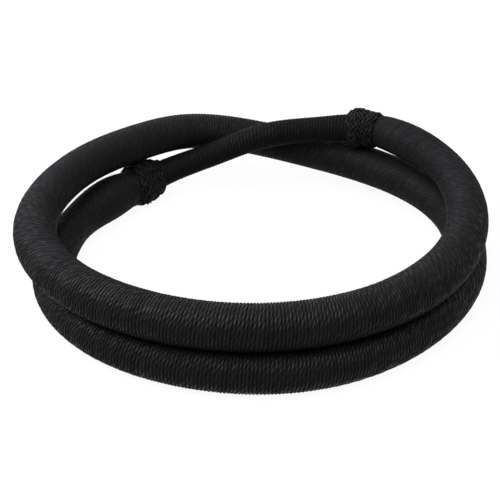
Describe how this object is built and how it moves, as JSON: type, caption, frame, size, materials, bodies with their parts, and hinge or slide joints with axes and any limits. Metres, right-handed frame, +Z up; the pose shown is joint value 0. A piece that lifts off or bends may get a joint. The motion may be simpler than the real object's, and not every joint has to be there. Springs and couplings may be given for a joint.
{
  "type": "igal head cord",
  "caption": "Black padded, thread-wound roll closed into a loop and laid in two turns, its ends joined by a thinner wound cord under lobed knots; it holds a headcloth on the head.",
  "frame": {"origin": "on the rest surface, under the middle of the loop's outer size", "axes": "+Z up out of the head opening; -Y to the wearer's forehead, so the crossing and the knots are at the back, +Y; +X to the right of someone who looks at the front from behind it"},
  "size_m": [0.2082, 0.2092, 0.0416],
  "materials": {
    "roll_thread": "close-wound black thread with a soft sheen, a fine slanting rib across the roll",
    "cord_thread": "finer close-wound black thread, a little duller",
    "knot_thread": "plaited black thread, dull"
  },
  "bodies": {
    "root": {"padded_roll": "roll_thread", "crossing_cord": "cord_thread", "left_knot": "knot_thread", "right_knot": "knot_thread"}
  },
  "joints": []
}
